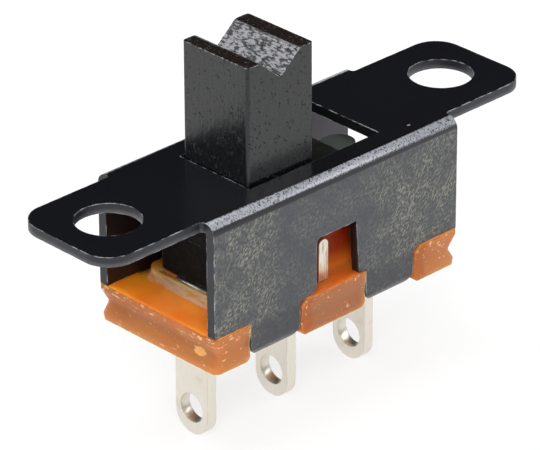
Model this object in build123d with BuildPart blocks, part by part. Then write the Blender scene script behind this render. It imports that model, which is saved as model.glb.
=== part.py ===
from build123d import *
import os

os.makedirs("parts", exist_ok=True)

# A miniature three-lug slide switch for panel mounting: a folded steel frame with two drilled ears,
# a moulded base held by four folded tabs, a moulded slider with a grooved handle, a sprung bridging
# contact carried under the slider, and three fixed contacts whose lugs come out below.
# Millimetres. The origin is the middle of the two ear holes, on the upper face of the frame.
# X runs along the switch and is the slider's travel, Z runs up along the handle.

# Frame, one folded sheet
sheet = 0.35
frame_length = 19.0
body_length = 11.0
body_width = 5.44
wall_drop = 4.07
ear_inset = 0.55
ear_corner = 1.0
bend_radius = 0.4
hole_to_tip = 2.0
hole_diameter = 2.2
window_width = 1.94
window_height = 1.97
window_lean = 0.15
window_corner = 0.2
window_flare = 0.35
tab_width = 2.2
tab_pitch = 5.2
tab_corner = 0.6
tab_root = 0.2
foot_reach = 1.0

# Base, one moulding
base_thickness = 1.33
base_overhang = 0.05
base_proud = 0.08
base_corner = 0.25
rim_height = 0.2
waist_end_depth = 0.24
waist_side_depth = 0.09
waist_drop = 0.66
waist_height = 0.12
foot_height = 0.22
flare_inset = 0.05
foot_inset = 0.07
foot_round = 0.2
floor_length = 8.4
floor_corner = 0.5
cheek_length = 5.0
cheek_thickness = 0.55
chamber_width = 2.9
floor_root = 0.25
notch_gap = 0.06

# The tabs, notches and lugs all sit a little to the left of the ear holes' middle
row_shift = -0.22

# Fixed contacts, three stamped and bent strips
strip = 0.4
lug_pitch = 3.62
lug_width = 1.5
lug_length = 3.8
eye_diameter = 1.05
eye_to_tip = 0.95
bend_round = 0.15
pad_side_gap = 0.05
outer_pad_length = 2.1
centre_pad_length = 1.1
keeper_width = 0.42
keeper_height = 1.1
keeper_setback = 0.12
lug_fit = 0.03

# Slider, one moulding
handle_length = 2.9
handle_width = 3.0
handle_height = 4.18
travel = 2.8
run_gap = 0.05
handle_side_gap = 0.14
flange_length = 6.1
flange_thickness = 1.35
flange_side_gap = 0.12
skirt_length = 5.2
skirt_height = 1.8
skirt_side_gap = 0.1
cavity_length = 4.5
cavity_width = 2.1
cavity_depth = 1.05
spring_pocket_diameter = 1.4
spring_pocket_depth = 0.9
groove_width = 1.75
groove_depth = 0.76
groove_round = 0.1
lip_round = 0.3
lip_edge = 0.12
handle_edge = 0.1
finger_width = 1.14
finger_length = 1.6
finger_thickness = 0.5
finger_drop = 0.45

# Bridging contact, one bent leaf, and its coil spring
leaf = 0.2
leaf_length = 4.3
leaf_width = 1.8
leaf_end_height = 0.45
leaf_round = 0.05
contact_bulge = 0.25
bulge_length = 0.8
contact_gap = 0.03
spring_diameter = 1.2
wire = 0.2
wire_sides = 8
spring_turns = 4.5

# Heights and places worked out from the sizes above
hole_pitch = frame_length - 2 * hole_to_tip
wall_face = body_width / 2
wall_inner = wall_face - sheet
ear_width = body_width - 2 * ear_inset
base_top = -wall_drop
base_bottom = base_top - base_thickness
slot_length = handle_length + travel + 2 * run_gap
slot_width = handle_width + 2 * handle_side_gap
rest_x = -travel / 2
flange_top = -sheet - run_gap
flange_bottom = flange_top - flange_thickness
cheek_top = flange_bottom - run_gap
cheek_face = chamber_width / 2 + cheek_thickness
skirt_bottom = flange_bottom - skirt_height
pad_width = chamber_width - 2 * pad_side_gap
pad_top = base_top + strip
leaf_under = pad_top + contact_gap + contact_bulge
leaf_top = leaf_under + leaf
cavity_roof = skirt_bottom + cavity_depth
pocket_roof = cavity_roof + spring_pocket_depth
tab_places = [(row_shift + side * tab_pitch / 2, hand) for side in (-1, 1) for hand in (-1, 1)]
lug_places = {"left": row_shift - lug_pitch, "centre": row_shift, "right": row_shift + lug_pitch}
keeper_face = wall_inner - keeper_setback

# Each pad: its name, the side of the lug that it runs to (+1 is right), its length, and the lug's
# face on the other side
pads = [
    ("left", 1, outer_pad_length, lug_places["left"] - strip / 2),
    ("centre", 1, centre_pad_length, lug_places["centre"] - strip / 2),
    ("right", -1, outer_pad_length, lug_places["right"] + strip / 2),
]

# One holding tab: the side wall's strip going down beside the base and folded in under it.
# It is drawn for the front wall (Y negative) about X = 0. Its lower corners are rounded, and its
# right side leaves the wall in a hollow curve.
with BuildPart() as tab:
    with BuildSketch(Plane.YZ) as tab_section:
        with BuildLine():
            FilletPolyline(
                (-wall_face, base_top),
                (-wall_face, base_bottom),
                (-wall_face + foot_reach, base_bottom),
                radius=bend_radius,
            )
            Polyline(
                (-wall_face + foot_reach, base_bottom),
                (-wall_face + foot_reach, base_bottom + sheet),
                (-wall_inner, base_bottom + sheet),
                (-wall_inner, base_top),
                (-wall_face, base_top),
            )
        make_face()
    extrude(amount=tab_width / 2 + tab_root, both=True)
    with BuildSketch(Plane.XZ) as tab_outline:
        with Locations((0, (base_top + base_bottom) / 2)):
            Rectangle(tab_width, base_thickness)
        fillet(tab_outline.vertices().group_by(Axis.Y)[0], radius=tab_corner)
        with Locations((0, base_top)):
            Rectangle(2 * tab_width, base_thickness, align=(Align.CENTER, Align.MIN))
        fillet(tab_outline.vertices().group_by(Axis.Y)[-2].sort_by(Axis.X)[2], radius=tab_root)
    extrude(amount=body_width, both=True, mode=Mode.INTERSECT)

# Frame: a flat blank with its ears, the folded channel over the body, slot, holes, windows and tabs
with BuildPart() as frame:
    with BuildSketch(Plane.XY.offset(-sheet)) as blank:
        RectangleRounded(frame_length, ear_width, ear_corner)
        Rectangle(body_length, body_width - 2 * bend_radius)
        relief = blank.vertices().filter_by(
            lambda corner: abs(abs(corner.X) - body_length / 2) < 0.01
            and abs(abs(corner.Y) - ear_width / 2) < 0.01
        )
        fillet(relief, radius=(ear_inset - bend_radius) * 0.9)
    extrude(amount=sheet)
    with BuildSketch(Plane.YZ) as channel:
        with Locations((0, -wall_drop / 2)):
            Rectangle(body_width, wall_drop)
        fillet(channel.vertices().group_by(Axis.Y)[-1], radius=bend_radius)
        with Locations((0, -(wall_drop + sheet) / 2)):
            Rectangle(2 * wall_inner, wall_drop - sheet, mode=Mode.SUBTRACT)
    extrude(amount=body_length / 2, both=True)
    with BuildSketch(Plane.XY):
        Rectangle(slot_length, slot_width)
        with GridLocations(hole_pitch, 0, 2, 1):
            Circle(hole_diameter / 2)
    extrude(amount=-sheet, mode=Mode.SUBTRACT)
    with BuildSketch(Plane.XZ) as window:
        with BuildLine():
            Polyline(
                (-window_width / 2, base_top),
                (-window_width / 2, base_top + window_height),
                (window_width / 2 - window_lean, base_top + window_height),
                (window_width / 2, base_top),
                close=True,
            )
        make_face()
        with Locations((0, base_top - window_height)):
            Rectangle(body_length, 2 * window_height)
        fillet(window.vertices().group_by(Axis.Y)[-2].sort_by(Axis.X)[1], radius=window_flare)
        fillet(window.vertices().group_by(Axis.Y)[-1].sort_by(Axis.X)[0], radius=window_corner)
    extrude(amount=body_width, both=True, mode=Mode.SUBTRACT)
    for tab_x, hand in tab_places:
        with Locations(Location((tab_x, 0, 0), (0, 0, 0 if hand < 0 else 180))):
            add(tab.part)
frame.part.label = "frame"
export_step(frame.part, "parts/frame.step")

# Base: a plate with a waist round its edge, deeper at its ends, a raised floor with a pocket for each
# pad, two cheeks that guide the slider's skirt, notches and foot recesses for the tabs, and a slit for
# each lug. Each notch has a sloped top corner on the side of the tab's hollow curve
with BuildPart() as base:
    plate_length = body_length + 2 * base_overhang
    plate_width = body_width + 2 * base_proud
    edge_profile = (
        (0, 0, 0),
        (rim_height, 0, 0),
        (waist_drop, waist_end_depth, waist_side_depth),
        (waist_drop + waist_height, waist_end_depth, waist_side_depth),
        (base_thickness - foot_height, flare_inset, flare_inset),
        (base_thickness, foot_inset, foot_inset),
    )
    for drop, end_inset, side_inset in edge_profile:
        with BuildSketch(Plane.XY.offset(base_top - drop)):
            RectangleRounded(plate_length - 2 * end_inset, plate_width - 2 * side_inset, base_corner)
    loft(ruled=True)
    with BuildSketch(Plane.XY.offset(base_top)):
        RectangleRounded(floor_length, 2 * cheek_face, floor_corner)
    extrude(amount=pad_top - base_top)
    floor_foot = base.edges().filter_by(
        lambda edge: abs(edge.center().Z - base_top) < 0.01
        and abs(edge.center().X) < (floor_length + body_length) / 4
        and abs(edge.center().Y) < (cheek_face + wall_face) / 2
    )
    fillet(floor_foot, radius=floor_root)
    with BuildSketch(Plane.XY.offset(pad_top)):
        with GridLocations(0, chamber_width + cheek_thickness, 1, 2):
            Rectangle(cheek_length, cheek_thickness)
    extrude(amount=cheek_top - pad_top)
    for name, pad_hand, pad_length, outer_face in pads:
        with BuildSketch(Plane.XY.offset(base_top)):
            with Locations((outer_face + pad_hand * pad_length / 2, 0)):
                Rectangle(pad_length + 2 * lug_fit, pad_width + 2 * lug_fit)
        extrude(amount=strip, mode=Mode.SUBTRACT)
    for tab_x, hand in tab_places:
        notch_inner = wall_inner - notch_gap
        with BuildSketch(Plane.XY.offset(base_top)):
            with Locations((tab_x, hand * (notch_inner + plate_width / 2))):
                Rectangle(tab_width + 2 * notch_gap, plate_width)
        extrude(amount=-base_thickness, mode=Mode.SUBTRACT)
        with BuildSketch(Plane.XY.offset(base_bottom)):
            with Locations((tab_x, hand * (wall_face - foot_reach / 2))):
                Rectangle(tab_width + 2 * notch_gap, foot_reach + 2 * notch_gap)
        extrude(amount=sheet, mode=Mode.SUBTRACT)
    notch_edges = base.edges().filter_by(Axis.Y).filter_by(
        lambda edge: any(
            abs(abs(edge.center().X - tab_x) - tab_width / 2 - notch_gap) < 0.01
            for tab_x, hand in tab_places
        )
    )
    fillet(notch_edges.group_by(Axis.Z)[0], radius=foot_round)
    curved_side = notch_edges.group_by(Axis.Z)[-1].filter_by(
        lambda edge: any(
            abs(edge.center().X - tab_x + hand * (tab_width / 2 + notch_gap)) < 0.01
            and edge.center().Y * hand > 0
            for tab_x, hand in tab_places
        )
    )
    chamfer(curved_side, length=tab_root)
    with BuildSketch(Plane.XY.offset(base_bottom)):
        for lug_x in lug_places.values():
            with Locations((lug_x, 0)):
                Rectangle(strip + 2 * lug_fit, lug_width + 2 * lug_fit)
    extrude(amount=base_thickness, mode=Mode.SUBTRACT)
    with BuildSketch(Plane.XY.offset(base_top)):
        with Locations((lug_places["centre"] - strip / 2 + keeper_width / 2, 0)):
            Rectangle(keeper_width + 2 * lug_fit, body_width)
    extrude(amount=strip, mode=Mode.SUBTRACT)
    with BuildSketch(Plane.XY.offset(base_top)):
        with Locations((lug_places["centre"] - strip / 2 + keeper_width / 2, 0)):
            Rectangle(keeper_width + 2 * lug_fit, body_width)
            Rectangle(keeper_width + 2 * lug_fit, 2 * (keeper_face - strip - lug_fit), mode=Mode.SUBTRACT)
    extrude(amount=strip + keeper_height + lug_fit, mode=Mode.SUBTRACT)
base.part.label = "base"
export_step(base.part, "parts/base.step")

# Fixed contacts: each has a flat pad let into the base's floor and a lug bent down through it
for name, pad_hand, pad_length, outer_face in pads:
    lug_x = lug_places[name]
    with BuildPart() as terminal:
        with BuildSketch(Plane.XZ) as angle:
            with BuildLine():
                FilletPolyline(
                    (outer_face, base_bottom),
                    (outer_face, pad_top),
                    (outer_face + pad_hand * pad_length, pad_top),
                    radius=bend_round,
                )
                Polyline(
                    (outer_face + pad_hand * pad_length, pad_top),
                    (outer_face + pad_hand * pad_length, base_top),
                    (outer_face + pad_hand * strip, base_top),
                    (outer_face + pad_hand * strip, base_bottom),
                    (outer_face, base_bottom),
                )
            make_face()
        extrude(amount=lug_width / 2, both=True)
        with BuildSketch(Plane.XZ):
            pad_middle = outer_face + pad_hand * (bend_round + pad_length) / 2
            with Locations((pad_middle, base_top + strip / 2)):
                Rectangle(pad_length - bend_round, strip)
        extrude(amount=pad_width / 2, both=True)
        with BuildSketch(Plane.YZ.offset(lug_x - strip / 2)):
            with Locations((0, base_bottom - (lug_length - lug_width / 2) / 2)):
                Rectangle(lug_width, lug_length - lug_width / 2)
            with Locations((0, base_bottom - lug_length + lug_width / 2)):
                Circle(lug_width / 2)
            with Locations((0, base_bottom - lug_length + eye_to_tip)):
                Circle(eye_diameter / 2, mode=Mode.SUBTRACT)
        extrude(amount=strip)
        if name == "centre":
            keeper_x = outer_face + keeper_width / 2
            with BuildSketch(Plane.XY.offset(base_top)):
                with Locations((keeper_x, 0)):
                    Rectangle(keeper_width - 2 * bend_round, 2 * keeper_face)
            extrude(amount=strip)
            for hand in (-1, 1):
                with BuildSketch(Plane.XZ.offset(-hand * (keeper_face - strip / 2))):
                    keeper_crown = pad_top + keeper_height - keeper_width / 2
                    with Locations((keeper_x, (base_top + keeper_crown) / 2)):
                        Rectangle(keeper_width, keeper_crown - base_top)
                    with Locations((keeper_x, keeper_crown)):
                        Circle(keeper_width / 2)
                extrude(amount=strip / 2, both=True)
    terminal.part.label = "terminal_" + name
    export_step(terminal.part, "parts/terminal_" + name + ".step")

# Slider: the grooved handle, a flange that runs between the frame and the cheeks, and a skirt with
# a cavity for the bridging contact and a pocket for its spring. It is drawn where it rests.
with BuildPart() as slider:
    with BuildSketch(Plane.XY.offset(flange_bottom)):
        with Locations((rest_x, 0)):
            Rectangle(flange_length, 2 * (wall_inner - flange_side_gap))
    extrude(amount=flange_thickness)
    with BuildSketch(Plane.XY.offset(skirt_bottom)):
        with Locations((rest_x, 0)):
            Rectangle(skirt_length, chamber_width - 2 * skirt_side_gap)
    extrude(amount=skirt_height)
    with BuildSketch(Plane.XZ) as handle_side:
        groove_bottom = handle_height - groove_depth
        with Locations((rest_x, (flange_top + handle_height) / 2)):
            Rectangle(handle_length, handle_height - flange_top)
        with BuildLine():
            Polyline(
                (rest_x - groove_width / 2, handle_height),
                (rest_x, groove_bottom),
                (rest_x + groove_width / 2, handle_height),
                close=True,
            )
        make_face(mode=Mode.SUBTRACT)
        lips = handle_side.vertices().group_by(Axis.Y)[-1].sort_by(Axis.X)
        fillet(lips[1:3], radius=lip_round)
        fillet([lips[0], lips[3]], radius=lip_edge)
        groove_foot = handle_side.vertices().sort_by(lambda corner: abs(corner.Y - groove_bottom))[0]
        fillet(groove_foot, radius=groove_round)
    extrude(amount=handle_width / 2, both=True)
    handle_corners = slider.edges().filter_by(Axis.Z).filter_by(lambda edge: edge.center().Z > 0)
    fillet(handle_corners, radius=handle_edge)
    finger_root = rest_x + flange_length / 2
    with BuildSketch(Plane.XY.offset(flange_top - finger_drop)):
        with Locations((finger_root + (finger_length - finger_width / 2) / 2, 0)):
            Rectangle(finger_length - finger_width / 2, finger_width)
        with Locations((finger_root + finger_length - finger_width / 2, 0)):
            Circle(finger_width / 2)
    extrude(amount=-finger_thickness)
    with BuildSketch(Plane.XY.offset(skirt_bottom)):
        with Locations((rest_x, 0)):
            Rectangle(cavity_length, cavity_width)
    extrude(amount=cavity_depth, mode=Mode.SUBTRACT)
    with BuildSketch(Plane.XY.offset(cavity_roof)):
        with Locations((rest_x, 0)):
            Circle(spring_pocket_diameter / 2)
    extrude(amount=spring_pocket_depth, mode=Mode.SUBTRACT)
slider.part.label = "slider"
export_step(slider.part, "parts/slider.step")

# Bridging contact: a leaf with turned-up ends and two rounded bulges, one travel apart, so that
# the centre contact is touched at both ends of the travel
with BuildPart() as moving_contact:
    with BuildSketch(Plane.XZ) as leaf_side:
        with BuildLine():
            left_end = rest_x - leaf_length / 2
            right_end = rest_x + leaf_length / 2
            waves = []
            for bulge_x in (rest_x - travel / 2, rest_x + travel / 2):
                waves += [
                    (bulge_x - bulge_length / 2, leaf_under),
                    (bulge_x - bulge_length / 6, leaf_under - contact_bulge),
                    (bulge_x + bulge_length / 6, leaf_under - contact_bulge),
                    (bulge_x + bulge_length / 2, leaf_under),
                ]
            Polyline(
                (left_end, leaf_under),
                *waves,
                (right_end, leaf_under),
                (right_end, leaf_under + leaf_end_height),
                (right_end - leaf, leaf_under + leaf_end_height),
                (right_end - leaf, leaf_top),
                *[(x, z + leaf) for x, z in reversed(waves)],
                (left_end + leaf, leaf_top),
                (left_end + leaf, leaf_under + leaf_end_height),
                (left_end, leaf_under + leaf_end_height),
                close=True,
            )
        make_face()
        fillet(leaf_side.vertices(), radius=leaf_round)
    extrude(amount=leaf_width / 2, both=True)
moving_contact.part.label = "moving_contact"
export_step(moving_contact.part, "parts/moving_contact.step")

# Contact spring: a coil between the leaf and the roof of the slider's pocket, its ends ground flat.
# The wire is drawn eight-sided
with BuildPart() as contact_spring:
    spring_height = pocket_roof - leaf_top
    coil_radius = (spring_diameter - wire) / 2
    pitch = spring_height / spring_turns
    with BuildLine(Plane.XY.offset(leaf_top)) as coil_path:
        Helix(pitch=pitch, height=spring_height, radius=coil_radius, center=(rest_x, 0, 0))
    with BuildSketch(Plane(origin=coil_path.line @ 0, z_dir=coil_path.line % 0)):
        RegularPolygon(wire / 2, wire_sides)
    sweep(path=coil_path.line, is_frenet=True)
    with BuildSketch(Plane.XY.offset(leaf_top)):
        with Locations((rest_x, 0)):
            Circle(spring_pocket_diameter / 2)
    extrude(amount=spring_height, mode=Mode.INTERSECT)
contact_spring.part.label = "contact_spring"
export_step(contact_spring.part, "parts/contact_spring.step")
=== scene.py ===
import math

import bpy
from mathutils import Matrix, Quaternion, Vector


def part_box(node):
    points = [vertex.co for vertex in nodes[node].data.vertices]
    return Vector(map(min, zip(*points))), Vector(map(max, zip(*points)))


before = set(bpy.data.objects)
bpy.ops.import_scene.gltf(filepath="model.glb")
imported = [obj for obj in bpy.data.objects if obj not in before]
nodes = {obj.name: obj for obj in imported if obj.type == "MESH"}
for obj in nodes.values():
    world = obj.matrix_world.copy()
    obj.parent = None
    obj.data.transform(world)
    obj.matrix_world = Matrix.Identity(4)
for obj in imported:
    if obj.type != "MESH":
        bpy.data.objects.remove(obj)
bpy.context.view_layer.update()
print("frame loaded:", ", ".join(sorted(nodes)))

mm = 0.001


def corners(name):  # a CAD piece's lowest and highest corner in millimetres
    return [[round(part / mm, 3) for part in corner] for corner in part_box(name)]


wallFace = corners("frame")[1][1]  # the side walls' outer faces
baseEnd = corners("base")[1][0]
plateThickness = 1.33
plateTop = corners("base")[0][2] + plateThickness  # the base's plate, where the frame's walls stand
handleTop = corners("slider")[1][2]
lugTip = corners("terminal_left")[0][2]


def linear(part):  # one channel of a screen colour, from 0 to 255
    return ((part / 255 + 0.055) / 1.055) ** 2.4 if part > 10 else part / 255 / 12.92


def tone(red, green, blue, share=1):  # a screen colour, and how much of it covers what it lies on
    return linear(red), linear(green), linear(blue), share


def place(tree, kind, inputs=None, **settings):  # one shader node, its settings and what feeds it
    node = tree.nodes.new("ShaderNode" + kind)
    for key, value in settings.items():
        setattr(node, key, value)
    feed(tree, node, inputs or {})
    return node


def feed(tree, node, inputs):  # an input takes a link from a socket, or a plain value
    for key, value in inputs.items():
        if isinstance(value, bpy.types.NodeSocket):
            tree.links.new(value, node.inputs[key])
        else:
            node.inputs[key].default_value = value


def calc(tree, operation, *values):
    return place(tree, "Math", dict(enumerate(values)), operation=operation).outputs[0]


def unsigned(tree, value):
    return calc(tree, "ABSOLUTE", value)


def either(tree, first, second):
    return calc(tree, "MAXIMUM", first, second)


def both(tree, *masks):
    joint = masks[0]
    for mask in masks[1:]:
        joint = calc(tree, "MULTIPLY", joint, mask)
    return joint


def ramp(tree, mask, low, high):  # low where the mask is 0, high where it is 1
    return calc(tree, "MULTIPLY_ADD", mask, high - low, low)


def between(tree, value, start, end):  # 0 at start and before, 1 at end and past it, smooth between
    inputs = {"Value": value, "From Min": start, "From Max": end}
    return place(tree, "MapRange", inputs, interpolation_type="SMOOTHSTEP").outputs[0]


def within(tree, value, low, high, soft):  # 1 from low to high, fading over soft on both sides
    return both(tree, between(tree, value, low - soft, low), between(tree, value, high + soft, high))


def layer(tree, mask, under, over):  # the colour over lies on the colour under where mask is 1
    if isinstance(over, tuple) and over[3] < 1:
        mask = both(tree, mask, over[3])
    return place(tree, "Mix", {0: mask, 6: under, 7: over}, data_type="RGBA").outputs[2]


def coats(tree, colour, *laid):  # pairs of mask and colour, laid one over another
    for mask, over in laid:
        colour = layer(tree, mask, colour, over)
    return colour


def newGroup(name, inputs, outputs):
    group = bpy.data.node_groups.new(name, "ShaderNodeTree")
    for label, kind, value in inputs:
        socket = group.interface.new_socket(name=label, in_out="INPUT", socket_type="NodeSocket" + kind)
        socket.default_value = value
    for label in outputs:
        group.interface.new_socket(name=label, in_out="OUTPUT", socket_type="NodeSocketFloat")
    return group, group.nodes.new("NodeGroupInput").outputs, group.nodes.new("NodeGroupOutput").inputs


def use(tree, name, **values):  # a shared group, placed in a material with its own values
    node = tree.nodes.new("ShaderNodeGroup")
    node.node_tree = bpy.data.node_groups[name]
    feed(tree, node, values)
    return node.outputs


def marks(tree, settings):
    return use(tree, "mottle", **settings)["Mask"]


def relief(tree, settings):
    return use(tree, "mottle", **settings)["Height"]


def wearAndGlint(tree, settings):
    return use(tree, "edgeWearAndGlint", **settings)["Mask"]


def millimetres(tree, stretch=(1, 1, 1), turn=0.0):  # places in millimetres, turned about Y, then stretched
    spot = place(tree, "TexCoord").outputs["Object"]
    scaled = place(tree, "VectorMath", {0: spot, 3: 1 / mm}, operation="SCALE").outputs[0]
    inputs = {"Vector": scaled, "Angle": turn}
    turned = place(tree, "VectorRotate", inputs, rotation_type="Y_AXIS").outputs[0]
    return place(tree, "VectorMath", {0: turned, 1: stretch}, operation="MULTIPLY").outputs[0]


def perMm(tree, size):  # a texture's scale from the size of its marks
    return calc(tree, "DIVIDE", 1.0, size)


# Shared effects

# Clouds, streaks and flecks: Mask rises from Low to High of the cloud that Height gives
tree, given, made = newGroup(
    "mottle",
    [("Size", "Float", 0.3), ("Low", "Float", 0.4), ("High", "Float", 0.6), ("Detail", "Float", 4.0),
     ("Stretch", "Vector", (1, 1, 1)), ("Turn", "Float", 0.0), ("Seed", "Float", 0.0)],
    ["Mask", "Height"],
)
cloud = place(tree, "TexNoise", {
    "Vector": millimetres(tree, given["Stretch"], given["Turn"]), "Scale": perMm(tree, given["Size"]),
    "Detail": given["Detail"], "Roughness": 0.6, "W": given["Seed"],
}, noise_dimensions="4D").outputs[0]
tree.links.new(between(tree, cloud, given["Low"], given["High"]), made["Mask"])
tree.links.new(cloud, made["Height"])

# Round dust specks: Cover is the share of the cells that have one, Radius its size in a cell
tree, given, made = newGroup(
    "specks",
    [("Size", "Float", 0.5), ("Cover", "Float", 0.3), ("Radius", "Float", 0.3),
     ("Stretch", "Vector", (1, 1, 1))],
    ["Mask"],
)
cells = place(tree, "TexVoronoi", {
    "Vector": millimetres(tree, given["Stretch"]), "Scale": perMm(tree, given["Size"]),
}, voronoi_dimensions="4D")
chance = place(tree, "SeparateColor", {0: cells.outputs["Color"]}).outputs
reach = both(tree, given["Radius"], calc(tree, "ADD", chance[1], 0.3))  # no two specks are as large
depth = calc(tree, "DIVIDE", calc(tree, "SUBTRACT", reach, cells.outputs["Distance"]), reach)
chosen = calc(tree, "LESS_THAN", chance[0], given["Cover"])
tree.links.new(both(tree, between(tree, depth, 0.0, 0.5), chosen), made["Mask"])

# Wear and painted glints along arrises: the higher Broken is, the more of an arris stays whole
tree, given, made = newGroup(
    "edgeWearAndGlint",
    [("Width", "Float", 0.05), ("Low", "Float", 0.05), ("High", "Float", 0.3), ("Grain", "Float", 0.1),
     ("Broken", "Float", 0.5)],
    ["Mask"],
)
rounded = place(tree, "Bevel", {"Radius": both(tree, given["Width"], mm)}, samples=6).outputs[0]
flat = place(tree, "NewGeometry").outputs["Normal"]
alike = place(tree, "VectorMath", {0: rounded, 1: flat}, operation="DOT_PRODUCT").outputs["Value"]
turned = calc(tree, "SUBTRACT", 1.0, alike)
patches = place(tree, "TexNoise", {
    "Vector": millimetres(tree), "Scale": perMm(tree, given["Grain"]), "Detail": 4.0,
}).outputs[0]
whole, worn = calc(tree, "SUBTRACT", given["Broken"], 0.1), calc(tree, "ADD", given["Broken"], 0.1)
rubbed = both(tree, between(tree, turned, given["Low"], given["High"]), between(tree, patches, whole, worn))
tree.links.new(rubbed, made["Mask"])

print("shared effects made")


def newMaterial(name):
    material = bpy.data.materials.new(name)
    material.use_nodes = True
    tree = material.node_tree
    return material, tree, tree.nodes["Principled BSDF"]


def bump(tree, height, depth, shader, under=None):  # depth in millimetres, on top of the normal under
    inputs = {"Height": height, "Distance": depth * mm, "Strength": 1.0}
    if under:
        inputs["Normal"] = under
    normal = place(tree, "Bump", inputs).outputs[0]
    tree.links.new(normal, shader.inputs["Normal"])
    return normal


def facing(tree):  # how far the surface looks along X, Y and Z
    return place(tree, "SeparateXYZ", {0: place(tree, "TexCoord").outputs["Normal"]}).outputs


def where(tree):  # the place on the piece in millimetres
    return place(tree, "SeparateXYZ", {0: millimetres(tree)}).outputs


# Black paint of the folded frame
# In this and the next finishes, names that end in X, Y or Z hold places in millimetres, and names that
# end in Looks hold how far the surface looks along an axis. Two numbers are where an effect starts and
# where it is full. Three are its low end, its high end and how softly it fades there

paint = {
    "top": tone(10, 11, 15),
    # upright faces: greyer paint than the top, lightened further as a painted sheen standing for the floor's
    # reflection
    "wall": tone(52, 54, 59),
    "fleck": tone(140, 140, 126),
    "dust": tone(140, 140, 126, 0.8),
    "tab": tone(40, 40, 45, 0.6),
    "cut": tone(19, 20, 25, 0.9),
    # painted highlight: a lighter band along the lower part of the frame's end cut faces
    "rim": tone(66, 66, 70),
    # painted shade: darker lower part of the fold, standing for its reflection of the dark room
    "underFold": tone(30, 31, 34),
    # painted shade on the cut faces of the handle's slot and of the frame's window
    "slot": tone(9, 9, 11),
    # painted light and shade on the walls' inner faces: lilac grey towards the right end, dark brown towards
    # the left
    "inner": tone(80, 78, 90),
    "hollow": tone(22, 14, 12),
    # bright grey of the painted highlight along the fold
    "foldHighlight": tone(136, 138, 145),
    "glint": tone(196, 198, 206),
    "roughness": (0.25, 0.46),
    "clouds": {"Size": 0.9, "Low": 0.36, "High": 0.64},
    "flecks": {"Size": 0.07, "Low": 0.42, "High": 0.68, "Stretch": (1, 1, 0.55), "Turn": -0.75},
    "scratches": {
        "Size": 0.09, "Low": 0.6, "High": 0.7, "Stretch": (1, 1, 0.06), "Turn": -0.5, "Detail": 2.0,
    },
    "foldStrokes": {"Size": 0.04, "Stretch": (1, 0.45, 0.45), "Detail": 2.0},
    "specks": {"Size": 1.0, "Cover": 0.45, "Radius": 0.07, "Stretch": (0.6, 1, 1)},
    "edge": {"Width": 0.06, "Low": 0.03, "High": 0.2, "Grain": 0.3, "Broken": 0.5},
    "peel": {"Size": 0.16, "Detail": 3.0},
    "peelShare": (0.15, 1.15),  # on level faces and on upright ones
    "peelDepth": 0.006,
    "fleckDepth": 0.006,
    "fleckShare": (0.2, 1.0),  # between clouds and in them
    "wornShare": (0.35, 0.9),  # in the middle of a wall and at its worn ends
    "scratchShare": 0.5,
    "edgeShare": (0.9, 0.15),  # elsewhere and beside the handle's slot
    "tear": (-2.5, 2.5),  # how far strokes pull the fold's painted highlight band in and out
    "highlightFrom": (0.2, 1.0),
    "bandFade": (0.02, 0.3),
    "standingLooks": (0.75, 0.25),
    "squareLooks": (0.75, 0.9),
    "wallY": (wallFace - 0.12, wallFace - 0.04),
    "wornRightX": (0.9, 2.6),
    "wornLeftX": (-2.2, -3.4),
    "tabZ": (plateTop + 0.07, plateTop - 0.23),
    "insideY": (wallFace - 0.36, wallFace - 0.42),  # inside the fold, where upright faces are cut ones
    "earX": (baseEnd - 0.05, baseEnd),
    "rimZ": (-0.17, -0.3),
    "slotX": (-3.0, 3.0, 0.05),
    "slotY": (-1.75, 1.75, 0.05),
    "besideSlotX": (-2.8, 2.8, 0.04),
    "windowX": (-1.1, 1.1, 0.02),
    "windowLooks": (0.7, 0.9),
    "innerLooks": (0.8, 0.9),
    "innerY": (wallFace - 0.22, wallFace - 0.32),
    "innerZ": (-0.3, -0.4),
    "innerX": (-0.6, 0.6),
    "foldY": (wallFace - 0.42, wallFace - 0.4),
    "foldZ": (-0.45, -0.4),
    "underFoldLooks": (0.15, 0.42, 0.08),
    "bandFootLooks": (0.4, 0.6),
    "bandHeadLooks": (0.995, 0.94),
}


def paintWear(tree, at, onWall):  # flecks, and flecks with scratches, on the walls
    cloudy = marks(tree, paint["clouds"])
    wornRight = between(tree, at["X"], *paint["wornRightX"])
    worn = either(tree, wornRight, between(tree, at["X"], *paint["wornLeftX"]))
    flecks = marks(tree, paint["flecks"])
    flecks = both(tree, flecks, ramp(tree, cloudy, *paint["fleckShare"]))
    flecks = both(tree, flecks, ramp(tree, worn, *paint["wornShare"]))
    scratches = both(tree, marks(tree, paint["scratches"]), worn, paint["scratchShare"])
    return both(tree, flecks, onWall), both(tree, either(tree, flecks, scratches), onWall)


def paintedFoldHighlight(tree, looks, onFold):  # the band along the fold with a painted highlight standing for a lamp's reflection, broken up by strokes
    foot = between(tree, looks["Z"], *paint["bandFootLooks"])
    band = both(tree, foot, between(tree, looks["Z"], *paint["bandHeadLooks"]), onFold)
    strokes = relief(tree, paint["foldStrokes"])
    torn = calc(tree, "ADD", band, ramp(tree, strokes, *paint["tear"]))
    return both(tree, between(tree, torn, *paint["highlightFrom"]), between(tree, band, *paint["bandFade"]))


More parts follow.
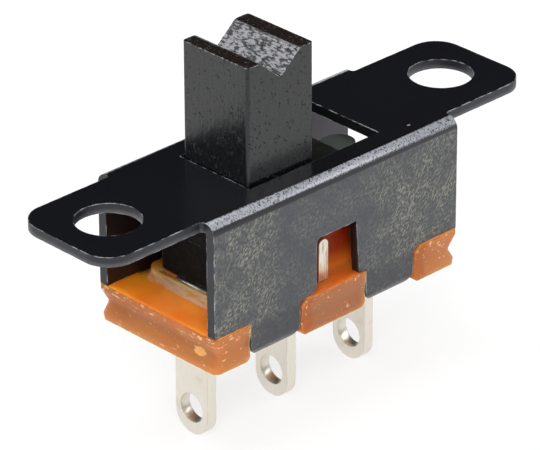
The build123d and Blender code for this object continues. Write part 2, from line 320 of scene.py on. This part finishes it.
def makePaint():
    material, tree, shader = newMaterial("blackPaint")
    looks, at = facing(tree), where(tree)
    side, end = unsigned(tree, looks["Y"]), unsigned(tree, looks["X"])
    along, across = unsigned(tree, at["X"]), unsigned(tree, at["Y"])
    upright = between(tree, unsigned(tree, looks["Z"]), *paint["standingLooks"])
    onWall = both(tree, between(tree, side, *paint["squareLooks"]), between(tree, across, *paint["wallY"]))
    onTab = both(tree, upright, between(tree, at["Z"], *paint["tabZ"]))
    onEnd = between(tree, end, *paint["squareLooks"])
    cut = either(tree, both(tree, upright, between(tree, across, *paint["insideY"])), onEnd)
    onRim = both(tree, cut, between(tree, along, *paint["earX"]), between(tree, at["Z"], *paint["rimZ"]))
    slotSide = within(tree, at["Y"], *paint["slotY"])
    inSlot = both(tree, within(tree, at["X"], *paint["slotX"]), slotSide, upright)
    besideSlot = both(tree, within(tree, at["X"], *paint["besideSlotX"]), slotSide)
    windowEdge = between(tree, end, *paint["windowLooks"])
    inWindow = both(tree, windowEdge, within(tree, at["X"], *paint["windowX"]))
    innerSide = between(tree, side, *paint["innerLooks"])
    innerSide = both(tree, innerSide, between(tree, across, *paint["innerY"]))
    onInner = both(tree, innerSide, between(tree, at["Z"], *paint["innerZ"]))
    innerLightAndShade = layer(tree, between(tree, at["X"], *paint["innerX"]), paint["hollow"], paint["inner"])
    onFold = both(tree, between(tree, across, *paint["foldY"]), between(tree, at["Z"], *paint["foldZ"]))
    underFold = both(tree, onFold, within(tree, looks["Z"], *paint["underFoldLooks"]))
    flecked, rubbed = paintWear(tree, at, onWall)
    dusty = use(tree, "specks", **paint["specks"])["Mask"]
    # painted glints along the frame's arrises, fewer beside the handle's slot
    edge = both(tree, wearAndGlint(tree, paint["edge"]), ramp(tree, besideSlot, *paint["edgeShare"]))
    colour = coats(
        tree, paint["top"], (upright, paint["wall"]), (rubbed, paint["fleck"]), (dusty, paint["dust"]),
        (onTab, paint["tab"]), (cut, paint["cut"]), (onRim, paint["rim"]),
        (either(tree, inSlot, inWindow), paint["slot"]), (onInner, innerLightAndShade),
        (underFold, paint["underFold"]), (paintedFoldHighlight(tree, looks, onFold), paint["foldHighlight"]),
        (edge, paint["glint"]),
    )
    rough = ramp(tree, either(tree, upright, rubbed), *paint["roughness"])
    feed(tree, shader, {"Base Color": colour, "Roughness": rough})
    peel = relief(tree, paint["peel"])
    peel = both(tree, peel, ramp(tree, upright, *paint["peelShare"]))
    bumps = bump(tree, peel, paint["peelDepth"], shader)
    bump(tree, flecked, paint["fleckDepth"], shader, bumps)
    return material


# Black moulding of the slider

slideFinish = {
    "body": tone(11, 13, 16),
    "lip": tone(22, 17, 15),
    # light grey painted sheen on the groove's flanks, standing for a lamp's reflection, broken by streaks
    "grooveSheen": tone(130, 130, 134),
    "pit": tone(4, 4, 5),
    "glint": tone(168, 170, 174, 0.8),
    "roughness": (0.22, 0.55),
    "gloss": 1.55,
    "middleX": -1.4,  # of the handle, where it rests
    "clusters": {"Size": 0.3, "Low": 0.4, "High": 0.62, "Detail": 2.0, "Seed": 4.0},
    "streaks": {"Size": 0.075, "Stretch": (1, 0.35, 1), "Detail": 4.0},
    "pits": {"Size": 0.11, "Low": 0.61, "High": 0.67, "Stretch": (1, 1, 0.75), "Detail": 2.0, "Seed": 5.0},
    "scratches": {"Size": 0.05, "Low": 0.5, "High": 0.7, "Stretch": (1, 1, 0.16), "Detail": 3.0},
    "waves": {"Size": 0.16, "Stretch": (1, 1, 0.35), "Detail": 4.0},
    "lipGlintBreaks": {"Size": 0.14, "Low": 0.46, "High": 0.56, "Detail": 4.0, "Seed": 2.0},
    "edge": {"Width": 0.08, "Low": 0.03, "High": 0.2, "Grain": 0.15, "Broken": 0.52},
    "clusterPull": -0.08,
    "streakFrom": (0.4, 0.52),
    "scratchShare": 0.35,
    "scratchDepth": 0.004,
    "waveDepth": 0.013,
    "pitDepth": 0.03,
    "grooveZ": (handleTop - 0.88, handleTop - 0.83),
    "grooveLooks": (0.5, 0.8, 0.15),
    "lipLooks": (0.85, 0.95),
    "lipZ": (handleTop - 0.18, handleTop - 0.12),
    "lipX": (1.2, 1.25),  # from the handle's middle
    "lipEdgeLooks": (0.3, 0.85, 0.08),
}


def lipGlints(tree, looks, at):  # painted glints, broken into dashes, along the outer edges of the handle's two lips
    fromMiddle = unsigned(tree, calc(tree, "SUBTRACT", at["X"], slideFinish["middleX"]))
    atLip = between(tree, at["Z"], *slideFinish["lipZ"])
    atLip = both(tree, atLip, between(tree, fromMiddle, *slideFinish["lipX"]))
    onEdge = both(tree, atLip, within(tree, looks["Z"], *slideFinish["lipEdgeLooks"]))
    return both(tree, onEdge, marks(tree, slideFinish["lipGlintBreaks"]))


def makeSlideFinish():
    material, tree, shader = newMaterial("blackMoulding")
    looks, at = facing(tree), where(tree)
    raised = between(tree, at["Z"], *slideFinish["grooveZ"])
    onLip = both(tree, raised, between(tree, looks["Z"], *slideFinish["lipLooks"]))
    inGroove = both(tree, raised, within(tree, looks["Z"], *slideFinish["grooveLooks"]))
    clusters = marks(tree, slideFinish["clusters"])
    streaks = relief(tree, slideFinish["streaks"])
    streaks = calc(tree, "MULTIPLY_ADD", clusters, slideFinish["clusterPull"], streaks)
    grooveSheen = both(tree, inGroove, between(tree, streaks, *slideFinish["streakFrom"]))
    pits = marks(tree, slideFinish["pits"])
    # painted glints along the arrises and along the lips' outer edges
    worn = either(tree, wearAndGlint(tree, slideFinish["edge"]), lipGlints(tree, looks, at))
    colour = coats(
        tree, slideFinish["body"], (onLip, slideFinish["lip"]), (grooveSheen, slideFinish["grooveSheen"]),
        (pits, slideFinish["pit"]), (worn, slideFinish["glint"]),
    )
    scratches = use(tree, "mottle", **slideFinish["scratches"])
    dull = either(tree, pits, both(tree, scratches["Mask"], slideFinish["scratchShare"]))
    rough = ramp(tree, either(tree, dull, inGroove), *slideFinish["roughness"])
    feed(tree, shader, {"Base Color": colour, "Roughness": rough, "IOR": slideFinish["gloss"]})
    waves = relief(tree, slideFinish["waves"])
    bumps = bump(tree, scratches["Height"], slideFinish["scratchDepth"], shader)
    bumps = bump(tree, waves, slideFinish["waveDepth"], shader, bumps)
    bump(tree, both(tree, pits, -1.0), slideFinish["pitDepth"], shader, bumps)
    return material


# The slider's faces inside the frame, matt and dusty, with painted light on the finger at the right end

coveredFinish = {
    "body": tone(11, 11, 9),
    # dust, and on the finger at the right end a painted lighter tone where light through the slot falls
    "dusty": tone(60, 66, 62),
    "glint": tone(168, 170, 174),
    "roughness": 0.7,
    "specular": 0.12,
    "dust": {"Size": 0.25, "Low": 0.45, "High": 0.7},
    "edge": {"Width": 0.06, "Low": 0.03, "High": 0.2, "Grain": 0.15, "Broken": 0.5},
    "grain": {"Size": 0.1, "Detail": 3.0},
    "grainDepth": 0.01,
    "dustShare": 0.12,
    "fingerLitShare": 0.8,
    "edgeShare": (0.25, 0.81),  # elsewhere and on the finger at the right end
    "fingerX": (1.68, 1.7),
    "belowZ": -0.39,  # just under the frame's sheet
}


def makeCoveredFinish():
    material, tree, shader = newMaterial("dullMoulding")
    dust = both(tree, marks(tree, coveredFinish["dust"]), coveredFinish["dustShare"])
    onFinger = between(tree, where(tree)["X"], *coveredFinish["fingerX"])
    dusty = either(tree, both(tree, onFinger, coveredFinish["fingerLitShare"]), dust)
    edge = wearAndGlint(tree, coveredFinish["edge"])
    edge = both(tree, edge, ramp(tree, onFinger, *coveredFinish["edgeShare"]))
    colour = layer(tree, dusty, coveredFinish["body"], coveredFinish["dusty"])
    colour = layer(tree, edge, colour, coveredFinish["glint"])
    feed(tree, shader, {
        "Base Color": colour, "Roughness": coveredFinish["roughness"],
        "Specular IOR Level": coveredFinish["specular"],
    })
    grain = relief(tree, coveredFinish["grain"])
    bump(tree, grain, coveredFinish["grainDepth"], shader)
    return material


# Orange moulding of the base

baseFinish = {
    # painted light: faces above the plate, the ledge among them, a brighter, more saturated orange than the
    # outer faces, and the ledge's back ends brighter still for light glowing through the plastic
    "inside": tone(246, 148, 52),
    "insideDeep": tone(238, 124, 24),
    "farLedge": tone(252, 164, 30, 0.8),
    "outside": tone(174, 110, 66),
    "outsideDeep": tone(166, 98, 48),
    "lower": tone(172, 118, 62, 0.7),
    # painted shade on the outer faces of the base's middle stretch
    "middle": tone(152, 98, 60),
    # painted shade on the plate's top inside the frame's window
    "byWindow": tone(184, 90, 20),
    "byNotch": tone(156, 84, 28, 0.8),
    # painted shade: dark maroon on the cheeks seen in the window, fading out towards the plate
    "hollow": tone(142, 42, 2),
    "pale": tone(255, 186, 160, 0.85),
    "flaw": tone(220, 172, 104),
    "arrisTone": tone(156, 84, 28),
    "chip": tone(232, 188, 156, 0.75),
    "rubbed": tone(232, 188, 156, 0.45),
    "roughness": 0.45,
    "specular": 0.32,
    "softness": 0.45,  # how far light evens out the arrises
    "glowDepth": 1.2,
    "glowShares": (0.8, 0.5, 0.25),
    "clouds": {"Size": 1.8, "Low": 0.35, "High": 0.65, "Detail": 2.0},
    "paleStreaks": {"Size": 0.2, "Low": 0.35, "High": 0.6, "Stretch": (1, 0.3, 1.5), "Seed": 3.0},
    "scuffs": {"Size": 0.17, "Stretch": (1, 0.7, 1.5), "Detail": 4.0, "Seed": 8.0},
    "edge": {"Width": 0.1, "Low": 0.02, "High": 0.2, "Grain": 0.12, "Broken": 0.56},
    "arris": {"Width": 0.12, "Low": 0.01, "High": 0.08, "Grain": 1.0, "Broken": -1.0},
    "grain": {"Size": 0.12, "Detail": 3.0},
    "grainDepth": 0.01,
    "chipDepth": 0.02,
    "rimScuffs": 0.04,
    "endScuffs": 0.02,
    "flawPull": 0.6,
    "chipFrom": (0.63, 0.66),
    "flawFrom": (0.86, 0.98),
    "standingLooks": (0.7, 0.3),
    "endLooks": (0.7, 0.9),
    "plateZ": (plateTop, plateTop - 0.006),
    "lowerZ": (plateTop - 0.53, plateTop - 1.23),
    "middleX": (-1.4, 0.9, 0.3),
    "farX": (3.9, 4.2),
    "farY": (0.2, 2.2),
    "windowX": (1.4, 1.2),
    "windowY": (1.8, 2.1),
    "leftNotchX": (-1.7, -1.3, 0.2),
    "rightNotchX": (3.5, 3.9, 0.2),
    "cheekX": (2.6, 2.5),
    "cheekZ": (plateTop + 0.1, plateTop + 0.87),
    "stepX": (3.7, 3.9),
    "stepZ": (plateTop + 0.05, plateTop + 0.38, 0.03),
    "rimZ": (plateTop - 0.6, plateTop - 0.1),
    "arrisZ": (plateTop - 0.1, plateTop + 0.01, 0.01),
    "flawX": (0.55 - baseEnd, 0.45 - baseEnd),
    "flawY": (-1.95, -1.75, 0.35),
    "flawZ": (plateTop - 0.83, plateTop - 0.73, 0.2),
}


def baseMarks(tree, looks, at):  # chips, and the paler flaw on the left end
    scuffs = relief(tree, baseFinish["scuffs"])
    rim = both(tree, between(tree, at["Z"], *baseFinish["rimZ"]), baseFinish["rimScuffs"])
    onEnd = between(tree, unsigned(tree, looks["X"]), *baseFinish["endLooks"])
    more = calc(tree, "ADD", rim, both(tree, onEnd, baseFinish["endScuffs"]))
    chips = between(tree, calc(tree, "ADD", scuffs, more), *baseFinish["chipFrom"])
    spot = within(tree, at["Y"], *baseFinish["flawY"])
    spot = both(tree, spot, within(tree, at["Z"], *baseFinish["flawZ"]))
    pulled = calc(tree, "MULTIPLY_ADD", spot, baseFinish["flawPull"], scuffs)
    flaw = between(tree, pulled, *baseFinish["flawFrom"])
    return chips, both(tree, flaw, between(tree, at["X"], *baseFinish["flawX"]))


def makeBaseFinish():
    material, tree, shader = newMaterial("orangeMoulding")
    looks, at = facing(tree), where(tree)
    along, across = unsigned(tree, at["X"]), unsigned(tree, at["Y"])
    upright = between(tree, unsigned(tree, looks["Z"]), *baseFinish["standingLooks"])
    cloudy = marks(tree, baseFinish["clouds"])
    far = both(tree, between(tree, along, *baseFinish["farX"]), between(tree, at["Y"], *baseFinish["farY"]))
    inner = layer(tree, cloudy, baseFinish["inside"], baseFinish["insideDeep"])
    inner = layer(tree, far, inner, baseFinish["farLedge"])
    outer = coats(
        tree, baseFinish["outside"], (cloudy, baseFinish["outsideDeep"]),
        (between(tree, at["Z"], *baseFinish["lowerZ"]), baseFinish["lower"]),
        (within(tree, at["X"], *baseFinish["middleX"]), baseFinish["middle"]),
    )
    onPlate = between(tree, at["Z"], *baseFinish["plateZ"])
    window = both(tree, between(tree, along, *baseFinish["windowX"]), calc(tree, "SUBTRACT", 1.0, onPlate))
    window = both(tree, window, between(tree, across, *baseFinish["windowY"]))
    leftNotch = within(tree, at["X"], *baseFinish["leftNotchX"])
    byNotch = either(tree, leftNotch, within(tree, at["X"], *baseFinish["rightNotchX"]))
    cheek = between(tree, along, *baseFinish["cheekX"])
    cheek = both(tree, cheek, between(tree, at["Z"], *baseFinish["cheekZ"]))
    step = between(tree, along, *baseFinish["stepX"])
    step = both(tree, step, within(tree, at["Z"], *baseFinish["stepZ"]))
    streaks = marks(tree, baseFinish["paleStreaks"])
    chips, flaw = baseMarks(tree, looks, at)
    arris = wearAndGlint(tree, baseFinish["arris"])
    colour = coats(
        tree, inner, (onPlate, outer),
        (window, baseFinish["byWindow"]), (both(tree, byNotch, upright, onPlate), baseFinish["byNotch"]),
        (cheek, baseFinish["hollow"]), (both(tree, step, streaks), baseFinish["pale"]),
        (flaw, baseFinish["flaw"]),
        (both(tree, arris, within(tree, at["Z"], *baseFinish["arrisZ"])), baseFinish["arrisTone"]),
        (both(tree, chips, upright, onPlate), baseFinish["chip"]),
        (both(tree, wearAndGlint(tree, baseFinish["edge"]), onPlate), baseFinish["rubbed"]),
    )
    feed(tree, shader, {
        "Base Color": colour, "Roughness": baseFinish["roughness"],
        "Specular IOR Level": baseFinish["specular"], "Subsurface Weight": 1.0,
        "Subsurface Radius": baseFinish["glowShares"], "Subsurface Scale": baseFinish["glowDepth"] * mm,
    })
    soft = place(tree, "Bevel", {"Radius": baseFinish["softness"] * mm}, samples=6).outputs[0]
    grain = relief(tree, baseFinish["grain"])
    bumps = bump(tree, grain, baseFinish["grainDepth"], shader, soft)
    bump(tree, chips, baseFinish["chipDepth"], shader, bumps)
    return material


# Plated strips

plateFinish = {
    "plate": tone(231, 226, 215),
    "stain": tone(186, 160, 108),
    "roughness": (0.4, 0.52),
    "clouds": {"Size": 0.8, "Low": 0.55, "High": 0.75},
    "drawn": {"Size": 0.09, "Low": 0.45, "High": 0.6, "Stretch": (1, 1, 0.12), "Detail": 2.0},
    "scratches": {"Size": 0.2, "Stretch": (1, 1, 0.3), "Detail": 4.0},
    "edge": {"Width": 0.08, "Low": 0.02, "High": 0.2, "Grain": 0.3, "Broken": 0.45},
    "scratchDepth": 0.006,
    "cloudShare": 0.35,
    "edgeShare": 0.5,
    "drawnShare": (0.04, 0.74),  # on the lugs and on the strip that shows in the window
    "windowStripY": (1.6, 1.8),
}


def makePlateFinish():
    material, tree, shader = newMaterial("silverPlate")
    cloudy = marks(tree, plateFinish["clouds"])
    edge = both(tree, wearAndGlint(tree, plateFinish["edge"]), plateFinish["edgeShare"])
    inWindow = between(tree, unsigned(tree, where(tree)["Y"]), *plateFinish["windowStripY"])
    drawn = marks(tree, plateFinish["drawn"])
    drawn = both(tree, drawn, ramp(tree, inWindow, *plateFinish["drawnShare"]))
    stained = either(tree, either(tree, both(tree, cloudy, plateFinish["cloudShare"]), edge), drawn)
    colour = layer(tree, stained, plateFinish["plate"], plateFinish["stain"])
    rough = ramp(tree, cloudy, *plateFinish["roughness"])
    feed(tree, shader, {"Base Color": colour, "Roughness": rough, "Metallic": 1.0})
    scratches = relief(tree, plateFinish["scratches"])
    bump(tree, scratches, plateFinish["scratchDepth"], shader)
    return material


# Bare metal of the two hidden pieces

innerMetals = {
    "contactBrass": {"metal": tone(214, 178, 104), "roughness": (0.25, 0.45)},
    "springSteel": {"metal": tone(180, 178, 172), "roughness": (0.3, 0.5)},
    "clouds": {"Size": 0.3, "Low": 0.5, "High": 0.75},
    "grain": {"Size": 0.06, "Detail": 3.0},
    "grainDepth": 0.003,
    "darkening": 0.6,  # of the metal in the clouds
}


def makeInnerMetal(name):
    metal = innerMetals[name]["metal"]
    material, tree, shader = newMaterial(name)
    cloudy = marks(tree, innerMetals["clouds"])
    stain = (*(innerMetals["darkening"] * part for part in metal[:3]), 1)
    rough = ramp(tree, cloudy, *innerMetals[name]["roughness"])
    feed(tree, shader, {"Base Color": layer(tree, cloudy, metal, stain), "Roughness": rough, "Metallic": 1.0})
    bump(tree, relief(tree, innerMetals["grain"]), innerMetals["grainDepth"], shader)
    return material


# Each piece's finish, and how wide its arrises are softened in millimetres

finishes = {
    "frame": (makePaint(), 0.035),
    "base": (makeBaseFinish(), 0.04),
    "slider": (makeSlideFinish(), 0.03),
    "terminal": (makePlateFinish(), 0.03),
    "moving_contact": (makeInnerMetal("contactBrass"), 0.01),
    "contact_spring": (makeInnerMetal("springSteel"), 0.0),
}
softening = {"weldMm": 0.0002, "segments": 2, "fromDegrees": 35}


def dress(node, material, arris):
    for slot in node.material_slots:
        slot.material = material
    if arris:
        weld = node.modifiers.new("weld", "WELD")
        weld.merge_threshold = softening["weldMm"] * mm
        soft = node.modifiers.new("arris", "BEVEL")
        soft.width = arris * mm
        soft.segments = softening["segments"]
        soft.limit_method = "ANGLE"
        soft.angle_limit = math.radians(softening["fromDegrees"])
        soft.harden_normals = True


for name, node in nodes.items():
    kind = "terminal" if name.startswith("terminal") else name
    dress(node, *finishes[kind])

slideMesh = nodes["slider"].data
slideMesh.materials.append(makeCoveredFinish())
for face in slideMesh.polygons:
    if max(slideMesh.vertices[index].co.z for index in face.vertices) < coveredFinish["belowZ"] * mm:
        face.material_index = len(slideMesh.materials) - 1
print("finishes laid on")

# Studio. Lamps stand at places in millimetres and look at the switch

studio = {
    "floorZ": lugTip - 0.022,
    "floorSize": 8,
    "floorTone": 0.9,
    "floorRoughness": 0.9,
    "floorSpecular": 0.1,
    "floorShare": 0.75,  # how white the floor is to the camera and in reflections
    "lamps": {
        "overhead": {"at": (-100, 60, 600), "size": 500, "watts": 2.9},
        "front": {"at": (-330, -300, 360), "size": 300, "watts": 2.8},
        "key": {"at": (360, -300, 330), "size": 260, "watts": 1.3},
        "back": {"at": (-230, 380, 400), "size": 200, "watts": 0.8},
    },
    "room": ((0.05, 0.9), (0.12, 0.02), (0.8, 0.03), (1.0, 0.3)),  # height above the horizon, and its level
}


def makeFloor():
    bpy.ops.mesh.primitive_plane_add(size=studio["floorSize"], location=(0, 0, studio["floorZ"] * mm))
    floor = bpy.context.object
    floor.name = "floor"
    material, tree, shader = newMaterial("paleFloor")
    feed(tree, shader, {
        "Base Color": (*(studio["floorTone"],) * 3, 1), "Roughness": studio["floorRoughness"],
        "Specular IOR Level": studio["floorSpecular"],
    })
    path = place(tree, "LightPath").outputs
    seen = either(tree, path["Is Camera Ray"], path["Is Glossy Ray"])
    seen = both(tree, either(tree, seen, path["Is Transmission Ray"]), studio["floorShare"])
    white = place(tree, "Emission", {"Color": (1, 1, 1, 1), "Strength": 1.0}).outputs[0]
    pale = place(tree, "MixShader", {0: seen, 1: shader.outputs[0], 2: white}).outputs[0]
    clear = place(tree, "BsdfTransparent").outputs[0]  # so that the underside can be seen
    below = place(tree, "NewGeometry").outputs["Backfacing"]
    finish = place(tree, "MixShader", {0: below, 1: pale, 2: clear}).outputs[0]
    tree.links.new(finish, tree.nodes["Material Output"].inputs["Surface"])
    floor.data.materials.append(material)


def makeLamps():
    for name, lamp in studio["lamps"].items():
        data = bpy.data.lights.new(name, "AREA")
        data.shape = "SQUARE"
        data.size = lamp["size"] * mm
        data.energy = lamp["watts"]
        light = bpy.data.objects.new(name, data)
        bpy.context.scene.collection.objects.link(light)
        light.location = Vector(lamp["at"]) * mm
        light.rotation_euler = (-light.location).to_track_quat("-Z", "Y").to_euler()


def makeRoom():  # white to the camera, dark with a pale horizon and ceiling in reflections
    world = bpy.data.worlds.new("studioRoom")
    bpy.context.scene.world = world
    world.use_nodes = True
    tree = world.node_tree
    up = place(tree, "SeparateXYZ", {0: place(tree, "TexCoord").outputs["Generated"]}).outputs["Z"]
    room = place(tree, "ValToRGB", {0: up})
    stops = room.color_ramp.elements
    for index, (height, level) in enumerate(studio["room"]):
        stop = stops[index] if index < 2 else stops.new(height)
        stop.position = height
        stop.color = (level, level, level, 1)
    straight = place(tree, "LightPath").outputs["Is Camera Ray"]
    feed(tree, tree.nodes["Background"], {"Color": layer(tree, straight, room.outputs[0], (1, 1, 1, 1))})


makeFloor()
makeLamps()
makeRoom()
bpy.context.scene.view_settings.view_transform = "Standard"
print("studio lit")

# Camera, where the photographer stood

viewpoint = {
    "at": (-88.884, -92.224, 64.788),
    "azimuth": 43.798,
    "down": 27.879,
    "roll": 0.251,
    "lens": 294.73,
    "film": 36,
    "nearest": 10,
}


def makeCamera():
    camera = bpy.data.objects.new("camera", bpy.data.cameras.new("camera"))
    bpy.context.scene.collection.objects.link(camera)
    camera.location = Vector(viewpoint["at"]) * mm
    turn, down = math.radians(viewpoint["azimuth"]), math.radians(viewpoint["down"])
    ahead = Vector((math.sin(turn) * math.cos(down), math.cos(turn) * math.cos(down), -math.sin(down)))
    camera.rotation_mode = "QUATERNION"
    level = Quaternion((0, 0, 1), -math.radians(viewpoint["roll"]))
    camera.rotation_quaternion = ahead.to_track_quat("-Z", "Y") @ level
    camera.data.lens = viewpoint["lens"]
    camera.data.sensor_width = viewpoint["film"]
    camera.data.clip_start = viewpoint["nearest"] * mm
    bpy.context.scene.camera = camera


makeCamera()
